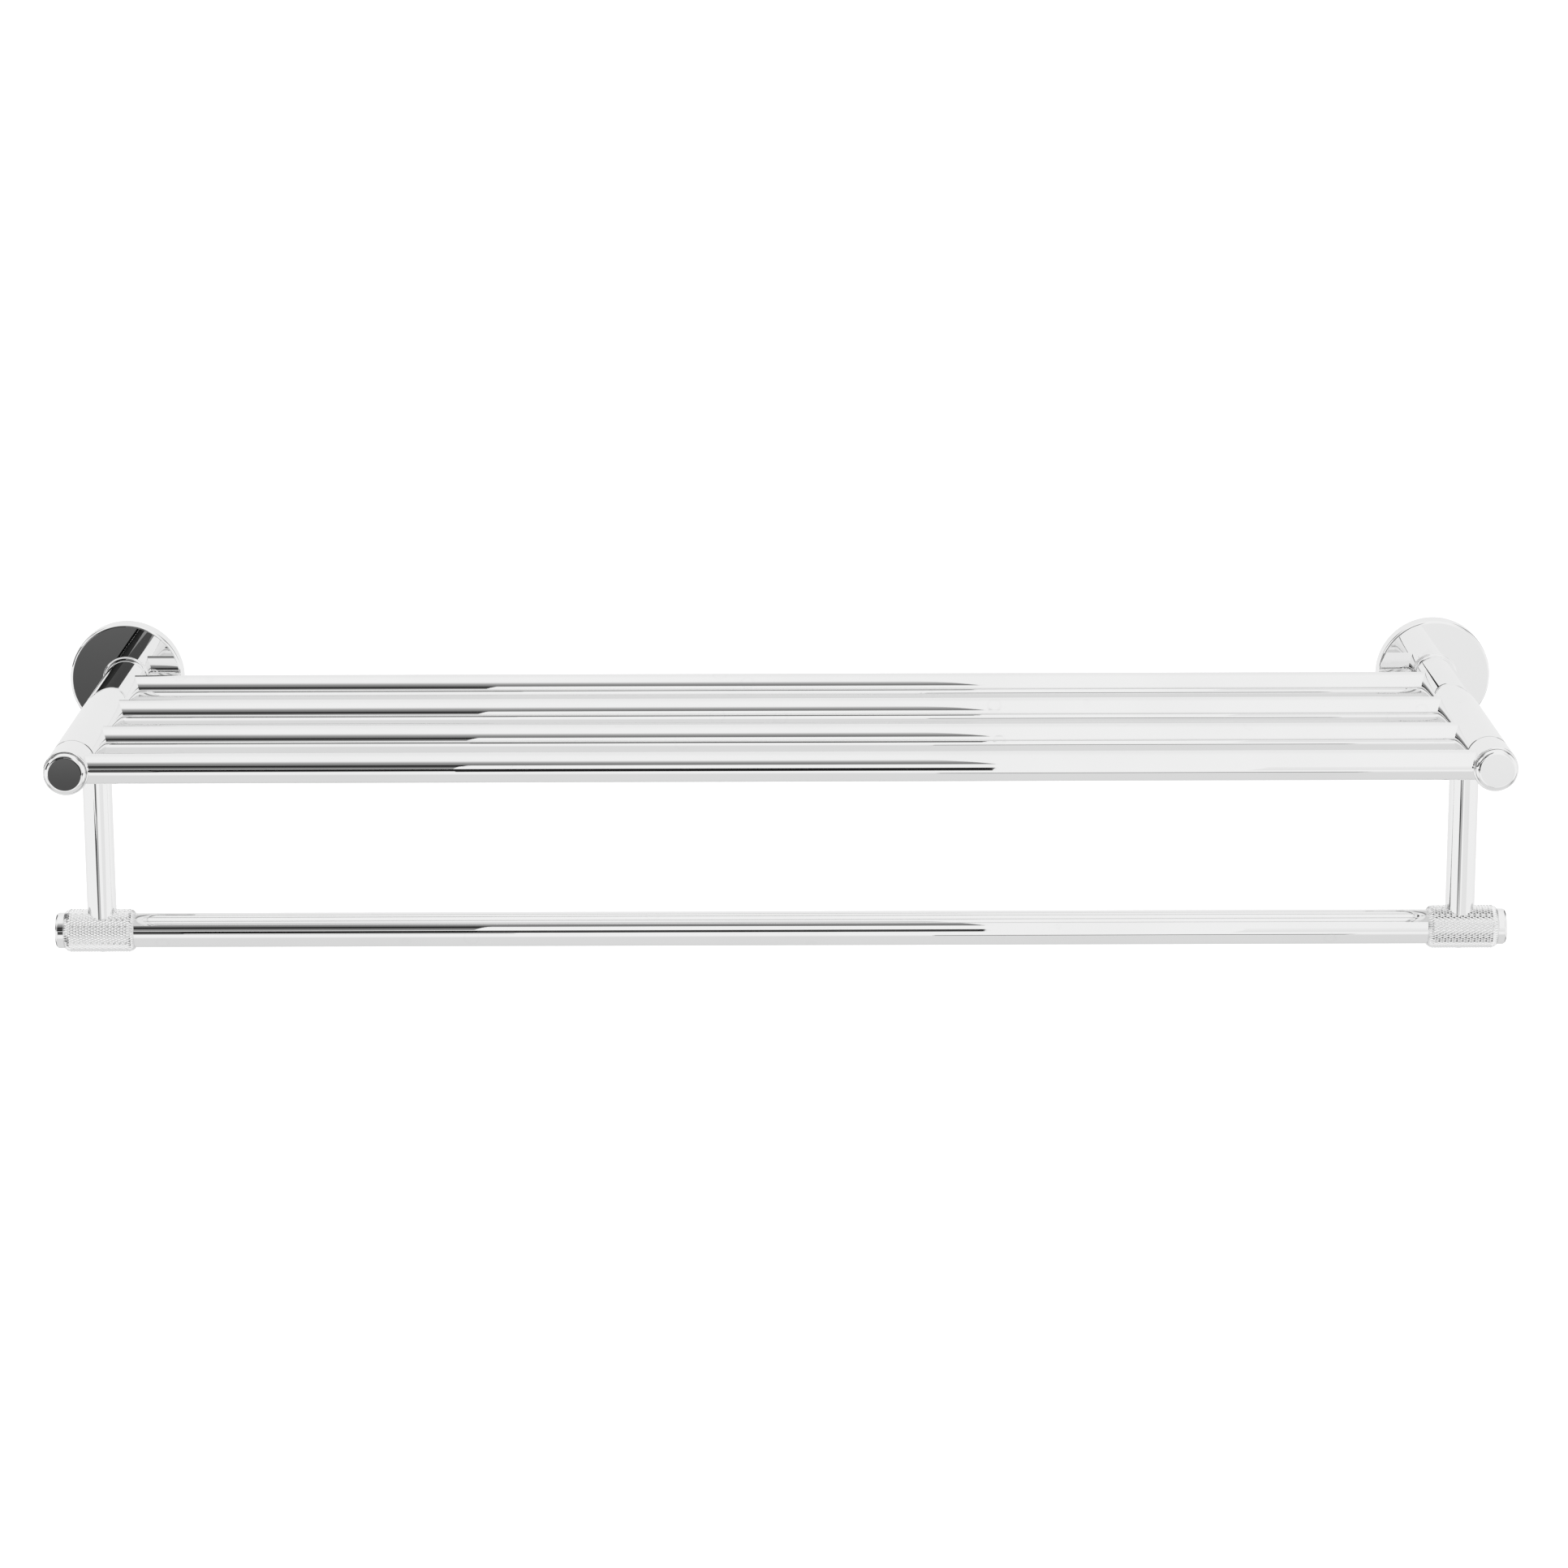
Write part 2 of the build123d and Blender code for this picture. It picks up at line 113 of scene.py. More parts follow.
class RackSizes(bpy.types.PropertyGroup):
    """Fine sizes of the turned and pressed pieces."""

    smoothness: IntProperty(
        name="Smoothness", description="Steps round a turned piece", default=128, min=24
    )
    tube_wall: FloatProperty(
        name="Tube wall", description="Wall of the shelf and post tubes",
        default=1.2 * MM, unit="LENGTH",
    )
    arm_wall: FloatProperty(
        name="Arm wall", description="Wall of the arm tubes", default=1.5 * MM, unit="LENGTH"
    )
    rosette_depth: FloatProperty(
        name="Rosette depth", description="Height of the rosette's flat front off the wall",
        default=9.5 * MM, unit="LENGTH",
    )
    rosette_front: FloatProperty(
        name="Rosette front wall", description="Wall of the rosette's front",
        default=2.5 * MM, unit="LENGTH",
    )
    rosette_rim: FloatProperty(
        name="Rosette rim wall", description="Wall of the rosette's rim",
        default=2.0 * MM, unit="LENGTH",
    )
    rosette_edge: FloatProperty(
        name="Rosette edge", description="Rounding of the rosette's front edge",
        default=1.3 * MM, unit="LENGTH",
    )
    collar_wall: FloatProperty(
        name="Collar wall", description="Wall of the collar round the arm",
        default=1.0 * MM, unit="LENGTH",
    )
    collar_edge: FloatProperty(
        name="Collar edge", description="Rounding of the collar's front edge",
        default=0.6 * MM, unit="LENGTH",
    )
    screw_hole_r: FloatProperty(
        name="Screw hole", description="Radius of the arm screw's hole in the rosette",
        default=3.2 * MM, unit="LENGTH",
    )
    seam_width: FloatProperty(
        name="Seam width", description="Width of the slope on either side of the arm's seam",
        default=0.7 * MM, unit="LENGTH",
    )
    seam_depth: FloatProperty(
        name="Seam depth", description="Depth of the groove at the arm's seam",
        default=0.22 * MM, unit="LENGTH",
    )
    seam_edge: FloatProperty(
        name="Seam edge", description="Rounding of the edges of the arm's seam",
        default=0.2 * MM, unit="LENGTH",
    )
    end_edge: FloatProperty(
        name="Arm end edge", description="Rounding of the arm's front edge",
        default=0.6 * MM, unit="LENGTH",
    )
    spigot_length: FloatProperty(
        name="Spigot length", description="Length of the end piece inside the arm",
        default=8.0 * MM, unit="LENGTH",
    )
    cap_groove: FloatProperty(
        name="Cap groove", description="Width of the shadow groove behind the front cap",
        default=0.5 * MM, unit="LENGTH",
    )
    cap_neck_r: FloatProperty(
        name="Cap neck", description="Radius at the bottom of the shadow groove",
        default=8.6 * MM, unit="LENGTH",
    )
    cap_edge: FloatProperty(
        name="Cap edge", description="Rounding of the front cap's disc",
        default=2.0 * MM, unit="LENGTH",
    )
    cap_stem_r: FloatProperty(
        name="Cap stem", description="Radius of the front cap's stem",
        default=3.0 * MM, unit="LENGTH",
    )
    cap_stem_length: FloatProperty(
        name="Cap stem length", description="Length of the front cap's stem",
        default=8.0 * MM, unit="LENGTH",
    )
    bar_cap_edge: FloatProperty(
        name="Bar cap edge", description="Rounding of the bar cap's outer edge",
        default=1.5 * MM, unit="LENGTH",
    )
    bar_cap_stem: FloatProperty(
        name="Bar cap stem", description="Length of the bar cap inside the bar",
        default=8.0 * MM, unit="LENGTH",
    )
    knurl_rows: IntProperty(
        name="Knurl rows", description="Half diamonds round the sleeve, an even number",
        default=96, min=12,
    )
    knurl_columns: IntProperty(
        name="Knurl columns", description="Half diamonds along the sleeve, an even number",
        default=24, min=4,
    )
    knurl_flat: FloatProperty(
        name="Knurl flat", description="Size of the blunt top of a diamond",
        default=0.16 * MM, unit="LENGTH",
    )
    knurl_depth: FloatProperty(
        name="Knurl depth", description="Height of the diamonds", default=0.45 * MM, unit="LENGTH"
    )
    sleeve_chamfer: FloatProperty(
        name="Sleeve chamfer", description="Length of the tapered ends of the knurled sleeve",
        default=2.2 * MM, unit="LENGTH",
    )
    sleeve_end_r: FloatProperty(
        name="Sleeve end", description="Radius of the knurled sleeve at its ends",
        default=8.35 * MM, unit="LENGTH",
    )


class RackFinishes(bpy.types.PropertyGroup):
    """Colours and gloss of the finishes."""

    chrome: FloatVectorProperty(
        name="Chrome", description="Colour that polished chrome reflects with",
        subtype="COLOR", size=4, default=(0.93, 0.93, 0.93, 1), min=0, max=1,
    )
    chrome_haze: FloatVectorProperty(
        name="Chrome haze", description="Colour of chrome under a thin film of water marks",
        subtype="COLOR", size=4, default=(0.895, 0.895, 0.895, 1), min=0, max=1,
    )
    chrome_roughness: FloatProperty(
        name="Chrome roughness", description="Roughness of clean chrome",
        default=0.008, min=0, max=1, subtype="FACTOR",
    )
    # Painted shade: the groove colour darkens the knurled hollows, against the lighter crest colour
    # on the points.
    groove: FloatVectorProperty(
        name="Groove", description="Colour in the bottom of the knurled grooves",
        subtype="COLOR", size=4, default=(0.84, 0.84, 0.84, 1), min=0, max=1,
    )
    # The seam colour is painted shade, darkening the bottom of the arms' seams.
    seam: FloatVectorProperty(
        name="Seam", description="Colour in the bottom of the arms' seams",
        subtype="COLOR", size=4, default=(0.58, 0.58, 0.58, 1), min=0, max=1,
    )
    # The crest colour is the lit side of the knurling's painted shade.
    crest: FloatVectorProperty(
        name="Knurl crest", description="Chrome on the points of the knurling",
        subtype="COLOR", size=4, default=(0.98, 0.98, 0.98, 1), min=0, max=1,
    )
    zinc: FloatVectorProperty(
        name="Zinc", description="Colour of zinc-plated steel",
        subtype="COLOR", size=4, default=(0.66, 0.67, 0.69, 1), min=0, max=1,
    )
    zinc_dull: FloatVectorProperty(
        name="Dull zinc", description="Colour of zinc where it has dulled",
        subtype="COLOR", size=4, default=(0.50, 0.51, 0.50, 1), min=0, max=1,
    )
    brass: FloatVectorProperty(
        name="Brass", description="Colour of turned brass",
        subtype="COLOR", size=4, default=(0.80, 0.60, 0.27, 1), min=0, max=1,
    )
    brass_dull: FloatVectorProperty(
        name="Dull brass", description="Colour of brass where it has tarnished",
        subtype="COLOR", size=4, default=(0.52, 0.36, 0.15, 1), min=0, max=1,
    )
    floor: FloatVectorProperty(
        name="Floor", description="Colour of the pale floor",
        subtype="COLOR", size=4, default=(0.92, 0.92, 0.92, 1), min=0, max=1,
    )


class RackStudio(bpy.types.PropertyGroup):
    """Camera, floor and light."""

    camera_distance: FloatProperty(
        name="Camera distance", description="Distance of the camera from the wall plane",
        default=2.169, unit="LENGTH",
    )
    camera_height: FloatProperty(
        name="Camera height", description="Height of the camera above the arms",
        default=0.464, unit="LENGTH",
    )
    camera_tilt: FloatProperty(
        name="Camera tilt", description="Angle that the camera looks down",
        default=radians(13.456), unit="ROTATION",
    )
    camera_turn: FloatProperty(
        name="Camera turn", description="Angle that the camera is turned to the right",
        default=radians(0.098), unit="ROTATION",
    )
    camera_roll: FloatProperty(
        name="Camera roll", description="Angle that the camera is rolled",
        default=radians(-0.143), unit="ROTATION",
    )
    camera_offset: FloatProperty(
        name="Camera offset", description="Place of the camera right of the rack's middle",
        default=-0.002, unit="LENGTH",
    )
    lens: FloatProperty(
        name="Lens", description="Focal length in millimetres", default=105.2, min=1
    )
    floor_drop: FloatProperty(
        name="Floor drop", description="Distance of the floor below the arms",
        default=1.1, unit="LENGTH",
    )
    floor_half: FloatProperty(
        name="Floor half width", description="Half of the floor's width",
        default=40.0, unit="LENGTH",
    )
    room_light: FloatProperty(
        name="Room light", description="Brightness of the studio in reflections",
        default=0.925, min=0,
    )
    backdrop_light: FloatProperty(
        name="Backdrop light", description="Brightness of the studio itself",
        default=1.25, min=0,
    )
    softbox_place: FloatVectorProperty(
        name="Softbox place", description="Middle of the softbox, which faces the rack",
        default=(-0.6, -1.2, 1.9), subtype="TRANSLATION",
    )
    softbox_width: FloatProperty(
        name="Softbox width", description="Width of the softbox", default=2.4, unit="LENGTH"
    )
    softbox_height: FloatProperty(
        name="Softbox height", description="Height of the softbox", default=1.6, unit="LENGTH"
    )
    softbox_power: FloatProperty(
        name="Softbox power", description="Power of the softbox", default=18, unit="POWER"
    )


# --- Meshes -----------------------------------------------------------------------------------


def set_off(bm, name):
    """Turn a bmesh into a linked object at the origin."""
    bmesh.ops.remove_doubles(bm, verts=bm.verts, dist=MERGE_DISTANCE)
    bmesh.ops.recalc_face_normals(bm, faces=bm.faces)
    mesh = bpy.data.meshes.new(name)
    bm.to_mesh(mesh)
    bm.free()
    piece = bpy.data.objects.new(name, mesh)
    bpy.context.scene.collection.objects.link(piece)
    return piece


def soften(piece):
    """Shade smooth, with wide faces ruling the normals, so that flats stay flat."""
    piece.data.shade_smooth()
    piece.data.set_sharp_from_angle(angle=SHARP_ANGLE)
    weights = piece.modifiers.new("Flat faces rule", "WEIGHTED_NORMAL")
    weights.mode = "FACE_AREA"
    weights.keep_sharp = True
    return piece


def hand_over(piece, material, node):
    """Give a piece its finish and let it stand for its CAD node."""
    piece.data.materials.append(material)
    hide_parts(node)
    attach(piece, "root")
    return piece


def turn(bm, corners, start, axis, steps):
    """Spin a closed outline of (distance along the axis, radius, rounding) corners."""
    out = axis.orthogonal().normalized()
    verts = [bm.verts.new(start + axis * along + out * radius) for along, radius, _ in corners]
    for one, other in zip(verts, verts[1:] + verts[:1]):
        bm.edges.new((one, other))
    for vert, (_, _, rounding) in zip(verts, corners):
        if rounding > 0:
            bmesh.ops.bevel(
                bm, geom=[vert], offset=rounding, offset_type="OFFSET", segments=ROUNDING_STEPS,
                profile=0.5, affect="VERTICES", clamp_overlap=True, material=-1,
            )
    outline = [*bm.verts, *bm.edges]
    bmesh.ops.spin(
        bm, geom=outline, cent=start, axis=axis, angle=tau, steps=steps, use_merge=True,
    )


def turned_piece(name, corners, start, axis, steps):
    """A turned solid, from one outline."""
    bm = bmesh.new()
    turn(bm, corners, start, axis, steps)
    return soften(set_off(bm, name))


def tube_outline(length, radius, wall):
    """Outline of a plain tube."""
    return [(0, radius, 0), (length, radius, 0), (length, radius - wall, 0), (0, radius - wall, 0)]


# --- Shader maths -----------------------------------------------------------------------------


class Signal:
    """A shader output that takes part in Python expressions."""

    def __init__(self, shader, socket):
        self.shader = shader
        self.socket = socket

    def _with(self, operation, first, second):
        return self.shader.add("ShaderNodeMath", {"operation": operation}, {0: first, 1: second})

    def __add__(self, other):
        return self._with("ADD", self, other)

    def __radd__(self, other):
        return self._with("ADD", other, self)

    def __sub__(self, other):
        return self._with("SUBTRACT", self, other)

    def __rsub__(self, other):
        return self._with("SUBTRACT", other, self)

    def __mul__(self, other):
        return self._with("MULTIPLY", self, other)

    def __rmul__(self, other):
        return self._with("MULTIPLY", other, self)

    def __pow__(self, other):
        return self._with("POWER", self, other)

    def __gt__(self, other):
        return self._with("GREATER_THAN", self, other)

    def __lt__(self, other):
        return self._with("LESS_THAN", self, other)

    def between(self, low, high, to_low=0.0, to_high=1.0):
        """Smoothly from to_low at low to to_high at high, and level outside."""
        settings = {"interpolation_type": "SMOOTHSTEP", "clamp": True}
        values = {
            "Value": self, "From Min": low, "From Max": high,
            "To Min": to_low, "To Max": to_high,
        }
        return self.shader.add("ShaderNodeMapRange", settings, values)

    def within(self, outer_low, low, high, outer_high):
        """1 from low to high, fading smoothly to 0 at the outer limits."""
        return self.between(outer_low, low) * self.between(high, outer_high, 1.0, 0.0)


class Shader:
    """Adds nodes to one node tree."""

    def __init__(self, tree):
        self.tree = tree
        tree.nodes.clear()

    def add(self, kind, settings=None, values=None, output=0):
        """Add a node with its settings, fill its sockets and return one output, if it has any."""
        node = self.tree.nodes.new(kind)
        for name, setting in (settings or {}).items():
            setattr(node, name, setting)
        for name, value in (values or {}).items():
            if isinstance(value, Signal):
                self.tree.links.new(value.socket, node.inputs[name])
            else:
                node.inputs[name].default_value = value
        return Signal(self, node.outputs[output]) if node.outputs else None

    def place(self):
        """Object coordinates in metres."""
        return self.add("ShaderNodeTexCoord", output="Object")

    def apart(self, vector):
        """The three parts of a vector."""
        whole = self.add("ShaderNodeSeparateXYZ", values={"Vector": vector})
        return [Signal(self, socket) for socket in whole.socket.node.outputs]

    def stretched(self, vector, scale):
        """The vector scaled along each axis."""
        return self.add("ShaderNodeVectorMath", {"operation": "MULTIPLY"}, {0: vector, 1: scale})

    def size_of(self, value):
        """The value without its sign."""
        return self.add("ShaderNodeMath", {"operation": "ABSOLUTE"}, {0: value})

    def noise(self, vector, scale, detail=2.0, roughness=0.5):
        """Soft noise from 0 to 1."""
        values = {"Vector": vector, "Scale": scale, "Detail": detail, "Roughness": roughness}
        return self.add("ShaderNodeTexNoise", values=values)

    def blend(self, factor, one, other):
        """Mix two colours."""
        return self.add(
            "ShaderNodeMix", {"data_type": "RGBA"}, {0: factor, 6: one, 7: other}, output=2
        )

    def finish(self, **values):
        """The surface shader and the output, from Principled socket names with _ for spaces."""
        filled = {name.replace("_", " "): value for name, value in values.items()}
        surface = self.add("ShaderNodeBsdfPrincipled", values=filled)
        self.add("ShaderNodeOutputMaterial", values={"Surface": surface})


def new_material(name):
    """A material and the shader that fills it."""
    material = bpy.data.materials.new(name)
    material.use_nodes = True
    return material, Shader(material.node_tree)


def water_marks(shader, place):
    """Faint dried drops: thin rings on a few cells of a scattered pattern."""
    cells = {"Vector": place, "Scale": 70.0, "Randomness": 1.0}
    distance = shader.add("ShaderNodeTexVoronoi", {"feature": "F1"}, cells, output="Distance")
    colour = shader.add("ShaderNodeTexVoronoi", {"feature": "F1"}, cells, output="Color")
    chance = shader.apart(colour)[0]
    ring = distance.within(0.16, 0.22, 0.24, 0.30)
    return ring * (chance > 0.8)


def seam_shadow(shader, place):
    """Painted shade: 1 at the bottom of the arms' seams and 0 on their outsides."""
    across, depth, height = shader.apart(place)
    off_axis = shader.size_of(across) - ARM_X
    out = (off_axis**2.0 + height**2.0) ** 0.5
    from_seam = shader.size_of(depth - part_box("arm_left")[0].y)
    sunk = out.between(ARM_R - SEAM_DARK_BELOW, ARM_R - SEAM_CLEAR_BELOW, 1.0, 0.0)
    return sunk * (from_seam < SEAM_REACH)


def make_chrome(name, finishes, along, shadow=None):
    """Mirror chrome with a slight polishing grain along one direction, film and water marks, and
    painted shade in the seams where a shadow mask is given.
    """
    material, shader = new_material(name)
    place = shader.place()
    film = shader.noise(place, 14.0, 3.0).between(0.42, 0.78)
    grain_scale = tuple(30.0 if part else 1400.0 for part in along)
    grain = shader.noise(shader.stretched(place, grain_scale), 1.0, 2.0)
    marks = water_marks(shader, place)
    colour = shader.blend(
        film * 0.5 + marks * 0.35, tuple(finishes.chrome), tuple(finishes.chrome_haze)
    )
    # Painted shade: the bottom of the seam is darkened to the seam colour.
    if shadow:
        colour = shader.blend(shadow(shader, place), colour, tuple(finishes.seam))
    roughness = finishes.chrome_roughness + film * 0.01 + grain * 0.008 + marks * 0.04
    ripple = shader.noise(place, 45.0, 1.0) + grain * 0.012
    bump = shader.add(
        "ShaderNodeBump", values={"Strength": 1.0, "Distance": 0.000012, "Height": ripple}
    )
    shader.finish(Base_Color=colour, Metallic=1.0, Roughness=roughness, Normal=bump)
    return material


def make_knurled_chrome(name, finishes):
    """Chrome over knurling, told apart by the mesh's heights: painted shade darkens the colour into
    the grooves against bright crests, and the grooves are rougher.
    """
    material, shader = new_material(name)
    place = shader.place()
    lift = shader.add("ShaderNodeAttribute", {"attribute_name": HEIGHT_LAYER}, output="Fac")
    crest = lift.between(-0.1, 0.42)
    grime = shader.noise(place, 220.0, 3.0).between(0.35, 0.75)
    # Painted shade: the colour goes from the dark groove colour in the hollows to the light crest
    # colour on the points.
    colour = shader.blend(crest, tuple(finishes.groove), tuple(finishes.crest))
    roughness = 0.1 + (1.0 - crest) * 0.2 + grime * 0.03
    grain = shader.noise(place, 2600.0, 2.0)
    bump = shader.add(
        "ShaderNodeBump", values={"Strength": 0.6, "Distance": 0.000004, "Height": grain}
    )
    shader.finish(Base_Color=colour, Metallic=1.0, Roughness=roughness, Normal=bump)
    return material


def make_zinc(name, finishes, scale):
    """Zinc-plated steel with a cloudy, slightly spangled face."""
    material, shader = new_material(name)
    place = shader.place()
    clouds = shader.noise(place, scale, 4.0, 0.6).between(0.35, 0.7)
    cells = {"Vector": place, "Scale": scale * 6.0, "Randomness": 1.0}
    spangle = shader.add("ShaderNodeTexVoronoi", {"feature": "F1"}, cells, output="Color")
    facet = shader.apart(spangle)[0]
    colour = shader.blend(
        clouds * 0.7 + facet * 0.3, tuple(finishes.zinc), tuple(finishes.zinc_dull)
    )
    roughness = 0.26 + clouds * 0.16 + facet * 0.08
    grain = shader.noise(place, scale * 40.0, 2.0)
    bump = shader.add(
        "ShaderNodeBump", values={"Strength": 0.3, "Distance": 0.00002, "Height": grain}
    )
    shader.finish(Base_Color=colour, Metallic=1.0, Roughness=roughness, Normal=bump)
    return material


def make_brass(name, finishes):
    """Turned brass with cutting lines and tarnish."""
    material, shader = new_material(name)
    place = shader.place()
    tarnish = shader.noise(place, 90.0, 4.0, 0.6).between(0.4, 0.75)
    lines = shader.noise(shader.stretched(place, (4.0, 2500.0, 2500.0)), 1.0, 1.0)
    colour = shader.blend(tarnish * 0.8, tuple(finishes.brass), tuple(finishes.brass_dull))
    roughness = 0.22 + tarnish * 0.2 + lines * 0.08
    bump = shader.add(
        "ShaderNodeBump", values={"Strength": 0.4, "Distance": 0.00001, "Height": lines}
    )
    shader.finish(Base_Color=colour, Metallic=1.0, Roughness=roughness, Normal=bump)
    return material


def make_floor_material(name, finishes):
    """Pale matt floor with a hardly visible mottle."""
    material, shader = new_material(name)
    mottle = shader.noise(shader.place(), 1.5, 4.0)
    light = tuple(finishes.floor)
    dark = tuple(part * 0.97 for part in light[:3]) + (1.0,)
    colour = shader.blend(mottle, light, dark)
    shader.finish(Base_Color=colour, Roughness=0.9 - mottle * 0.05)
    return material


def finish_named(name, make, *values):
    """The material of that name, made the first time that it is asked for."""
    return bpy.data.materials.get(name) or make(name, *values)


# --- Pieces -----------------------------------------------------------------------------------


class RACK_OT_rosettes(bpy.types.Operator):
    """Build the two wall rosettes with their collars"""

    bl_idname = "rack.rosettes"
    bl_label = "Rosettes"

    def execute(self, context):
        sizes = context.scene.rack_sizes
        material = finish_named(
            "rosette chrome", make_chrome, context.scene.rack_finishes, (0, 0, 0)
        )
        for side in SIDES:
            node = f"rosette_{side}"
            low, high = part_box(node)
            start = Vector((middle(node).x, high.y, middle(node).z))
            collar_front = high.y - low.y
            front = sizes.rosette_depth
            back = front - sizes.rosette_front
            collar_r = ARM_R + sizes.collar_wall
            outline = [
                (0, ROSETTE_R - sizes.rosette_rim, 0),
                (0, ROSETTE_R, RIM_EDGE),
                (front, ROSETTE_R, sizes.rosette_edge),
                (front, collar_r, INNER_EDGE),
                (collar_front, collar_r, sizes.collar_edge),
                (collar_front, ARM_R, 0),
                (front, ARM_R, 0),
                (front, sizes.screw_hole_r, 0),
                (back, sizes.screw_hole_r, 0),
                (back, ROSETTE_R - sizes.rosette_rim, 0),
            ]
            piece = turned_piece(
                f"rosette_cover_{side}", outline, start, TO_ROOM, sizes.smoothness * 2
            )
            hand_over(piece, material, node)
        return {"FINISHED"}


class RACK_OT_arms(bpy.types.Operator):
    """Build the two arm tubes and the end pieces in front of their seams"""

    bl_idname = "rack.arms"
    bl_label = "Arms"

    def execute(self, context):
        sizes = context.scene.rack_sizes
        finishes = context.scene.rack_finishes
        material = finish_named("arm chrome", make_chrome, finishes, (0, 1, 0), seam_shadow)
        for side in SIDES:
            node = f"arm_{side}"
            low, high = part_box(node)
            start = Vector((middle(node).x, high.y, middle(node).z))
            length = high.y - low.y
            outline = [
                (0, ARM_R, 0),
                (length - sizes.seam_width, ARM_R, sizes.seam_edge),
                (length, ARM_R - sizes.seam_depth, 0),
                (length, ARM_R - sizes.arm_wall, 0),
                (0, ARM_R - sizes.arm_wall, 0),
            ]
            piece = turned_piece(f"arm_tube_{side}", outline, start, TO_ROOM, sizes.smoothness)
            hand_over(piece, material, node)

            seam = low.y
            node = f"arm_end_{side}"
            low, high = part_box(node)
            start.y = seam
            length = seam - low.y
            outline = [
                (0, ARM_R - sizes.seam_depth, 0),
                (sizes.seam_width, ARM_R, sizes.seam_edge),
                (length, ARM_R, sizes.end_edge),
                (length, sizes.cap_stem_r, 0),
                (length - sizes.cap_stem_length, sizes.cap_stem_r, 0),
                (length - sizes.cap_stem_length, 0, 0),
                (-sizes.spigot_length, 0, 0),
                (-sizes.spigot_length, ARM_R - sizes.arm_wall, INNER_EDGE),
                (0, ARM_R - sizes.arm_wall, 0),
            ]
            piece = turned_piece(f"arm_nose_{side}", outline, start, TO_ROOM, sizes.smoothness)
            hand_over(piece, material, node)
        return {"FINISHED"}


class RACK_OT_front_caps(bpy.types.Operator):
    """Build the turned caps on the fronts of the arms"""

    bl_idname = "rack.front_caps"
    bl_label = "Front Caps"

    def execute(self, context):
        sizes = context.scene.rack_sizes
        material = finish_named("cap chrome", make_chrome, context.scene.rack_finishes, (0, 0, 0))
        for side in SIDES:
            node = f"front_cap_{side}"
            low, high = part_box(node)
            start = Vector((middle(node).x, high.y, middle(node).z))
            face = high.y - low.y
            neck = sizes.cap_stem_length
            outline = [
                (0, 0, 0),
                (0, sizes.cap_stem_r, INNER_EDGE),
                (neck, sizes.cap_stem_r, 0),
                (neck, sizes.cap_neck_r, 0),
                (neck + sizes.cap_groove, sizes.cap_neck_r, 0),
                (neck + sizes.cap_groove, FRONT_CAP_R, FRONT_CAP_BACK_EDGE),
                (face, FRONT_CAP_R, sizes.cap_edge),
                (face, 0, 0),
            ]
            piece = turned_piece(f"front_plug_{side}", outline, start, TO_ROOM, sizes.smoothness)
            hand_over(piece, material, node)
        return {"FINISHED"}


class RACK_OT_shelf_rails(bpy.types.Operator):
    """Build the shelf's tubes"""

    bl_idname = "rack.shelf_rails"
    bl_label = "Shelf Rails"

    def execute(self, context):
        if not RAILS:
            raise ValueError("the frame has no shelf rails")
        sizes = context.scene.rack_sizes
        material = finish_named("rail chrome", make_chrome, context.scene.rack_finishes, (1, 0, 0))
        for node in RAILS:
            low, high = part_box(node)
            start = middle(node)
            start.x = low.x
            outline = tube_outline(high.x - low.x, TUBE_R, sizes.tube_wall)
            piece = turned_piece(f"{node}_tube", outline, start, RIGHT, sizes.smoothness)
            hand_over(piece, material, node)
        return {"FINISHED"}


def cope(bm, level, shape):
    """Move the ring of corners at one level to the height that shape gives for each of them."""
    for vert in bm.verts:
        if abs(vert.co.z - level) < SAME_LEVEL:
            vert.co.z = shape(vert.co)


class RACK_OT_posts(bpy.types.Operator):
    """Build the two posts, coped to the arms and to the sleeves"""

    bl_idname = "rack.posts"
    bl_label = "Posts"

    def execute(self, context):
        sizes = context.scene.rack_sizes
        material = finish_named("post chrome", make_chrome, context.scene.rack_finishes, (0, 0, 1))
        seat_r = SLEEVE_R - sizes.knurl_depth
        for side in SIDES:
            node = f"post_{side}"
            centre = middle(node)
            arm_z = middle(f"arm_{side}").z
            bm = bmesh.new()
            start = Vector((centre.x, centre.y, BAR_Z))
            length = arm_z - BAR_Z
            turn(bm, tube_outline(length, TUBE_R, sizes.tube_wall), start, UP, sizes.smoothness)
            cope(bm, arm_z, lambda at: arm_z - sqrt(ARM_R**2 - (at.x - centre.x) ** 2))
            cope(bm, BAR_Z, lambda at: BAR_Z + sqrt(seat_r**2 - (at.y - POST_Y) ** 2))
            piece = soften(set_off(bm, f"post_tube_{side}"))
            hand_over(piece, material, node)
        return {"FINISHED"}


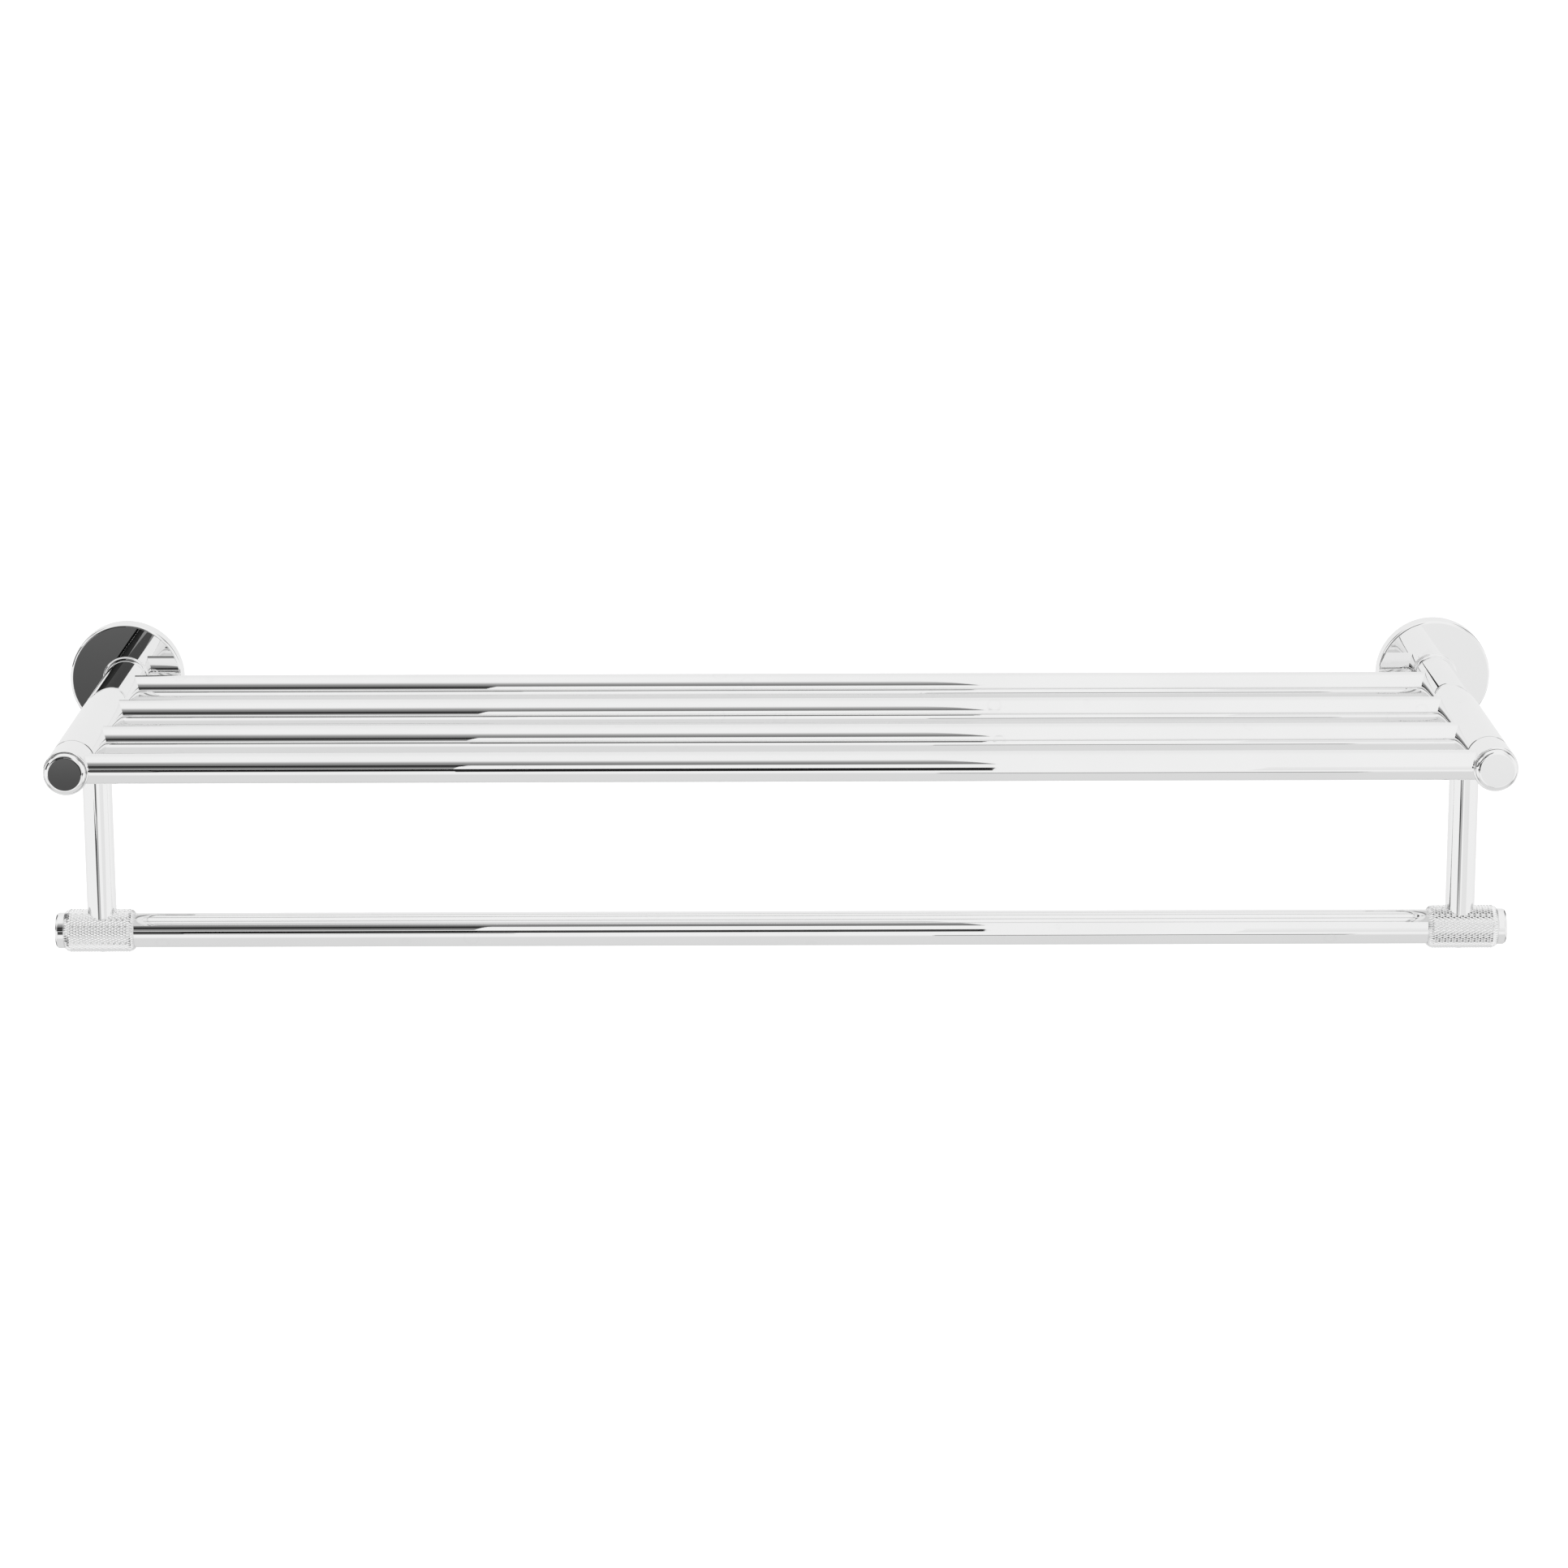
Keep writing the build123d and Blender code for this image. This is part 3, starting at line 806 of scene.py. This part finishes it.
def knurl(bm, start, axis, length, radius, sizes):
    """A knurled tube skin: rings of corners, every other one raised into a blunt pyramid."""
    rows = sizes.knurl_rows
    pitch = length / sizes.knurl_columns
    upright = axis.to_track_quat("Z", "Y").to_matrix().to_4x4()
    bmesh.ops.create_circle(
        bm, cap_ends=False, radius=radius, segments=rows,
        matrix=Matrix.Translation(start) @ upright,
    )
    groove = bm.verts.layers.int.new("groove")
    for number, vert in enumerate(bm.verts):
        vert[groove] = number % 2
    ring = list(bm.edges)
    for _ in range(sizes.knurl_columns):
        grown = bmesh.ops.extrude_edge_only(bm, edges=ring)["geom"]
        verts = [part for part in grown if isinstance(part, bmesh.types.BMVert)]
        ring = [part for part in grown if isinstance(part, bmesh.types.BMEdge)]
        bmesh.ops.translate(bm, verts=verts, vec=axis * pitch)
        for vert in verts:
            vert[groove] = 1 - vert[groove]
    for face in list(bm.faces):
        bmesh.utils.face_split(face, *[vert for vert in face.verts if vert[groove]])
    low = [vert for vert in bm.verts if vert[groove] or vert.is_boundary]
    deep = 1 - sizes.knurl_depth / radius
    squeeze = Matrix.Diagonal(Vector((deep, deep, deep)) + axis * (1 - deep)).to_4x4()
    bmesh.ops.transform(
        bm, verts=low, matrix=squeeze, space=Matrix.Translation(-start)
    )
    crests = [vert for vert in bm.verts if not vert[groove] and not vert.is_boundary]
    bmesh.ops.bevel(
        bm, geom=crests, offset=sizes.knurl_flat, offset_type="OFFSET", segments=1,
        profile=0.5, affect="VERTICES", clamp_overlap=True, material=-1,
    )
    height = bm.verts.layers.float.new(HEIGHT_LAYER)
    for vert in bm.verts:
        off = vert.co - start
        out = (off - axis * off.dot(axis)).length
        vert[height] = 1 - (radius - out) / sizes.knurl_depth


def taper_ends(bm, start, length, sizes):
    """Draw the knurling in towards both ends of a sleeve that runs along X."""
    taper = 1 - sizes.sleeve_end_r / (SLEEVE_R - sizes.knurl_depth)
    for vert in bm.verts:
        from_end = min(vert.co.x - start.x, start.x + length - vert.co.x)
        shrink = 1 - taper * max(0, 1 - from_end / sizes.sleeve_chamfer)
        vert.co.y = start.y + (vert.co.y - start.y) * shrink
        vert.co.z = start.z + (vert.co.z - start.z) * shrink


def bore_through(bm, start, radius):
    """Fold the two open rims of a sleeve along X in to a bore, and join them."""
    rims = [edge for edge in bm.edges if edge.is_boundary]
    grown = bmesh.ops.extrude_edge_only(bm, edges=rims)["geom"]
    for vert in [part for part in grown if isinstance(part, bmesh.types.BMVert)]:
        out = Vector((0, vert.co.y - start.y, vert.co.z - start.z)).normalized()
        vert.co.y = start.y + out.y * radius
        vert.co.z = start.z + out.z * radius
    bore = [part for part in grown if isinstance(part, bmesh.types.BMEdge)]
    bmesh.ops.bridge_loops(bm, edges=bore)


class RACK_OT_sleeves(bpy.types.Operator):
    """Build the two sleeves with raised diamond knurling"""

    bl_idname = "rack.sleeves"
    bl_label = "Knurled Sleeves"

    def execute(self, context):
        sizes = context.scene.rack_sizes
        finishes = context.scene.rack_finishes
        if sizes.knurl_rows % 2 or sizes.knurl_columns % 2:
            raise ValueError("knurl rows and columns are even numbers")
        material = finish_named("knurled chrome", make_knurled_chrome, finishes)
        for side in SIDES:
            node = f"knurled_sleeve_{side}"
            low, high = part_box(node)
            start = middle(node)
            start.x = low.x
            length = high.x - low.x
            bm = bmesh.new()
            knurl(bm, start, RIGHT, length, SLEEVE_R, sizes)
            taper_ends(bm, start, length, sizes)
            bore_through(bm, start, BAR_R + BORE_CLEARANCE)
            piece = set_off(bm, f"knurled_grip_{side}")
            hand_over(piece, material, node)
        return {"FINISHED"}


class RACK_OT_towel_bar(bpy.types.Operator):
    """Build the towel bar and the plugs in its ends"""

    bl_idname = "rack.towel_bar"
    bl_label = "Towel Bar"

    def execute(self, context):
        sizes = context.scene.rack_sizes
        finishes = context.scene.rack_finishes
        rail_material = finish_named("rail chrome", make_chrome, finishes, (1, 0, 0))
        cap_material = finish_named("cap chrome", make_chrome, finishes, (0, 0, 0))
        low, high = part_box("towel_bar")
        start = middle("towel_bar")
        start.x = low.x
        outline = tube_outline(high.x - low.x, BAR_R, sizes.tube_wall)
        piece = turned_piece("towel_bar_tube", outline, start, RIGHT, sizes.smoothness)
        hand_over(piece, rail_material, "towel_bar")
        for side, sign in SIDES.items():
            node = f"bar_end_cap_{side}"
            face = start.copy()
            face.x = sign * high.x
            length = extent(node).x - sizes.bar_cap_stem
            outline = [
                (-sizes.bar_cap_stem, 0, 0),
                (-sizes.bar_cap_stem, BAR_R - sizes.tube_wall, INNER_EDGE),
                (0, BAR_R - sizes.tube_wall, 0),
                (0, BAR_CAP_R, BAR_CAP_BACK_EDGE),
                (length, BAR_CAP_R, sizes.bar_cap_edge),
                (length, 0, 0),
            ]
            piece = turned_piece(
                f"bar_plug_{side}", outline, face, RIGHT * sign, sizes.smoothness
            )
            hand_over(piece, cap_material, node)
        return {"FINISHED"}


# Slots whose CAD meshes are kept: the finish's name, the function that makes it and its scale
CARRIED_OVER = {
    "bracket_steel": ("zinc plate", make_zinc, 60.0),
    "screw_steel": ("zinc screws", make_zinc, 160.0),
    "insert_brass": ("turned brass", make_brass),
}


class RACK_OT_fixings(bpy.types.Operator):
    """Give the brackets, inserts and screws their finishes"""

    bl_idname = "rack.fixings"
    bl_label = "Fixings"

    def execute(self, context):
        finishes = context.scene.rack_finishes
        parts = frame["record"]["subparts"]
        fixings = [part for part in parts if part["material_slot"] in CARRIED_OVER]
        if not fixings:
            raise ValueError("the frame has no fixings")
        for part in fixings:
            name, make, *values = CARRIED_OVER[part["material_slot"]]
            mesh = frame["nodes"][part["node"]].data
            mesh.materials.clear()
            mesh.materials.append(finish_named(name, make, finishes, *values))
        return {"FINISHED"}


# --- Studio -----------------------------------------------------------------------------------

# Cards that only reflections see: turn round the rack in degrees, distance, left, right, bottom and
# top edges, and the brightness at the bottom and at the top.
CARDS = {
    # Dark and grey bands above the middle of the rails and of the towel bar
    "upper_grey": (0, 1.75, -1.60, 0.180, 0.86, 3.60, 0.20, 0.92),
    "left_black": (0, 1.00, -1.00, -0.200, 0.22, 0.50, 0.07, 0.005),
    "left_grey": (0, 1.00, -0.45, -0.200, 0.04, 0.22, 0.32, 0.26),
    "far_black": (0, 4.00, -1.60, -0.420, 0.70, 1.90, 0.01, 0.01),
    # The thin dark line just below them
    "low_line": (0, 1.75, -0.78, 0.168, -0.20, 0.06, 0.01, 0.0),
    "low_edge": (0, 1.75, -0.49, 0.168, -0.37, -0.20, 0.05, 0.01),
    "near_line": (0, 0.50, -0.165, 0.108, -0.105, -0.058, 0.12, 0.0),
    # The dark fronts of the left rosette and front cap
    "low_card": (0, 1.75, -0.72, -0.490, -0.44, -0.20, 0.08, 0.14),
    # The upright bands on the posts
    "post_grey": (0, 4.00, -1.30, -0.350, -1.16, -0.88, 0.50, 0.42),
    "post_black": (0, 4.00, -2.10, -1.300, -1.30, -1.05, 0.35, 0.0),
    # The pale grey fronts of the right rosette and front cap
    "right_low": (0, 1.75, 0.38, 1.80, -0.70, 0.0, 0.82, 0.88),
    # The fine line low on the right half of the rails
    "low_strip": (0, 1.75, 0.14, 0.52, -1.42, -1.26, 0.12, 0.12),
    # The dark band round the left bar cap
    "far_left": (0, 1.00, -1.00, -0.450, 0.04, 0.22, 0.01, 0.03),
    # A dark wall on the left, for the rounded edges that face it
    "left_wall": (-90, 2.00, -0.20, 1.20, 0.00, 0.70, 0.05, 0.05),
}


def make_card_material(name, bottom, top, dark, light):
    """A card that glows evenly from one brightness at the bottom to another at the top."""
    material, shader = new_material(name)
    height = shader.apart(shader.place())[2]
    glow = height.between(bottom, top, dark, light)
    surface = shader.add("ShaderNodeEmission", values={"Color": glow, "Strength": 1.0})
    shader.add("ShaderNodeOutputMaterial", values={"Surface": surface})
    return material


def make_card(name, degrees, distance, left, right, bottom, top, dark, light):
    """An upright rectangle beside the rack, out of the camera's sight."""
    bm = bmesh.new()
    round_rack = Matrix.Rotation(radians(degrees), 4, "Z")
    centre = Matrix.Translation(((left + right) / 2, -distance, (bottom + top) / 2))
    place = round_rack @ centre
    size = Matrix.Diagonal((right - left, 1, top - bottom, 1))
    stand = Matrix.Rotation(pi / 2, 4, "X")
    bmesh.ops.create_grid(bm, x_segments=1, y_segments=1, size=0.5, matrix=place @ size @ stand)
    card = set_off(bm, f"card_{name}")
    card.data.materials.append(make_card_material(f"card {name}", bottom, top, dark, light))
    card.visible_camera = False
    card.visible_diffuse = False
    card.visible_shadow = False


def light_room(scene, studio):
    """A white studio: reflections dim towards the floor and show a dark panel at each corner."""
    world = bpy.data.worlds.new("white studio")
    world.use_nodes = True
    scene.world = world
    shader = Shader(world.node_tree)
    direction = shader.add("ShaderNodeTexCoord", output="Generated")  # a vector one long
    across, depth, height = shader.apart(direction)
    low = height.between(-0.72, -0.52, 0.80, 1.0)
    wall_side = depth.between(0.1, 0.9, 1.0, 0.94)
    sideways = shader.size_of(across)
    corner = sideways.within(0.40, 0.46, 0.72, 0.80)
    upper = height.within(0.06, 0.12, 0.55, 0.80)
    lower = height.within(-0.80, -0.62, -0.34, -0.27)
    panels = corner * (0.85 * upper + 0.65 * lower) * depth.between(-0.1, 0.1, 0.15, 1.0)
    reflected = low * wall_side * studio.room_light * (1.0 - panels)
    ray = shader.add("ShaderNodeLightPath", output="Is Glossy Ray")
    glow = ray * reflected + (1.0 - ray) * studio.backdrop_light
    background = shader.add("ShaderNodeBackground", values={"Color": glow, "Strength": 1.0})
    shader.add("ShaderNodeOutputWorld", values={"Surface": background})


def lay_floor(scene, studio):
    """A wide pale floor well below the rack."""
    bm = bmesh.new()
    bmesh.ops.create_grid(
        bm, x_segments=8, y_segments=8, size=studio.floor_half,
        matrix=Matrix.Translation((0, 0, -studio.floor_drop)),
    )
    floor = set_off(bm, "floor")
    floor.data.materials.append(
        finish_named("pale floor", make_floor_material, scene.rack_finishes)
    )
    floor.visible_glossy = False


def hang_softbox(scene, studio):
    """A broad soft lamp above the front left of the rack."""
    softbox = bpy.data.lights.new("softbox", "AREA")
    softbox.shape = "RECTANGLE"
    softbox.size = studio.softbox_width
    softbox.size_y = studio.softbox_height
    softbox.energy = studio.softbox_power
    lamp = bpy.data.objects.new("softbox", softbox)
    lamp.location = studio.softbox_place
    lamp.rotation_euler = (-lamp.location).to_track_quat("-Z", "Y").to_euler()
    lamp.visible_glossy = False
    scene.collection.objects.link(lamp)


def place_camera(scene, studio):
    """A camera in front of the rack that looks down on it."""
    view = bpy.data.cameras.new("camera")
    view.sensor_width = 36
    view.lens = studio.lens
    view.clip_start = 0.05
    view.clip_end = 200
    camera = bpy.data.objects.new("camera", view)
    turn_right = Matrix.Rotation(-studio.camera_turn, 4, "Z")
    look_down = Matrix.Rotation(pi / 2 - studio.camera_tilt, 4, "X")
    roll = Matrix.Rotation(studio.camera_roll, 4, "Z")
    place = Matrix.Translation(
        (studio.camera_offset, -studio.camera_distance, studio.camera_height)
    )
    camera.matrix_world = place @ turn_right @ look_down @ roll
    scene.collection.objects.link(camera)
    scene.camera = camera


class RACK_OT_studio(bpy.types.Operator):
    """Build the floor, the light, the cards and the camera"""

    bl_idname = "rack.studio"
    bl_label = "Studio"

    def execute(self, context):
        scene = context.scene
        studio = scene.rack_studio
        scene.view_settings.view_transform = "Standard"
        lay_floor(scene, studio)
        light_room(scene, studio)
        for name, card in CARDS.items():
            make_card(name, *card)
        hang_softbox(scene, studio)
        place_camera(scene, studio)
        return {"FINISHED"}


class RACK_PT_panel(bpy.types.Panel):
    """Buttons that build the rack"""

    bl_idname = "RACK_PT_panel"
    bl_label = "Towel Rack"
    bl_space_type = "VIEW_3D"
    bl_region_type = "UI"
    bl_category = "Towel Rack"

    def draw(self, context):
        for operator in OPERATORS:
            self.layout.operator(operator.bl_idname)


OPERATORS = (
    RACK_OT_studio,
    RACK_OT_rosettes,
    RACK_OT_arms,
    RACK_OT_front_caps,
    RACK_OT_shelf_rails,
    RACK_OT_posts,
    RACK_OT_sleeves,
    RACK_OT_towel_bar,
    RACK_OT_fixings,
)
SETTINGS = {
    "rack_sizes": RackSizes,
    "rack_finishes": RackFinishes,
    "rack_studio": RackStudio,
}
CLASSES = (*SETTINGS.values(), *OPERATORS, RACK_PT_panel)


def register():
    for cls in CLASSES:
        bpy.utils.register_class(cls)
    for name, group in SETTINGS.items():
        setattr(bpy.types.Scene, name, PointerProperty(type=group))


def unregister():
    for name in SETTINGS:
        delattr(bpy.types.Scene, name)
    for cls in reversed(CLASSES):
        bpy.utils.unregister_class(cls)


def main():
    register()
    for operator in OPERATORS:
        family, name = operator.bl_idname.split(".")
        getattr(getattr(bpy.ops, family), name)()


if __name__ == "__main__":
    main()
